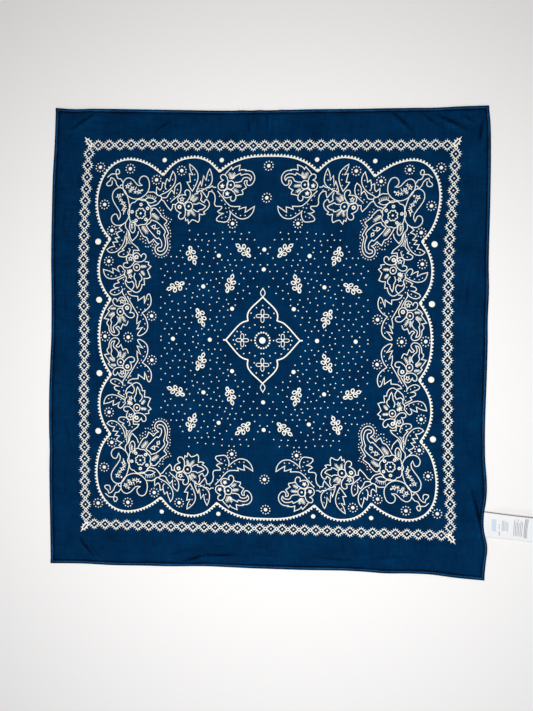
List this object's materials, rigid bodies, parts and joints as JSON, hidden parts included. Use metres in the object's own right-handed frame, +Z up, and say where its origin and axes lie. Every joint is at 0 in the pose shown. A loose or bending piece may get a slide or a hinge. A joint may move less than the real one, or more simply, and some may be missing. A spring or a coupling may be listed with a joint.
{
  "type": "bandana",
  "caption": "Printed cotton bandana laid out flat, with narrow doubled hems and a white ribbon care label at one side.",
  "frame": {"origin": "on the surface that the cloth lies on, under the middle of the cloth", "axes": "+X towards the side that holds the label, +Y along the longer side away from the label's corner, +Z up from the surface, towards the upper side of the cloth"},
  "size_m": [0.5954, 0.5598, 0.0049],
  "materials": {
    "printed_cotton": "plain-weave cotton, navy with a cream discharge print, matte",
    "hem_cotton": "plain-weave cotton, navy, folded and stitched, matte",
    "label_satin": "white satin ribbon, soft sheen"
  },
  "bodies": {
    "root": {"cloth_panel": "printed_cotton", "hem_top": "hem_cotton", "hem_bottom": "hem_cotton", "hem_left": "hem_cotton", "hem_right": "hem_cotton", "care_label": "label_satin"}
  },
  "joints": []
}
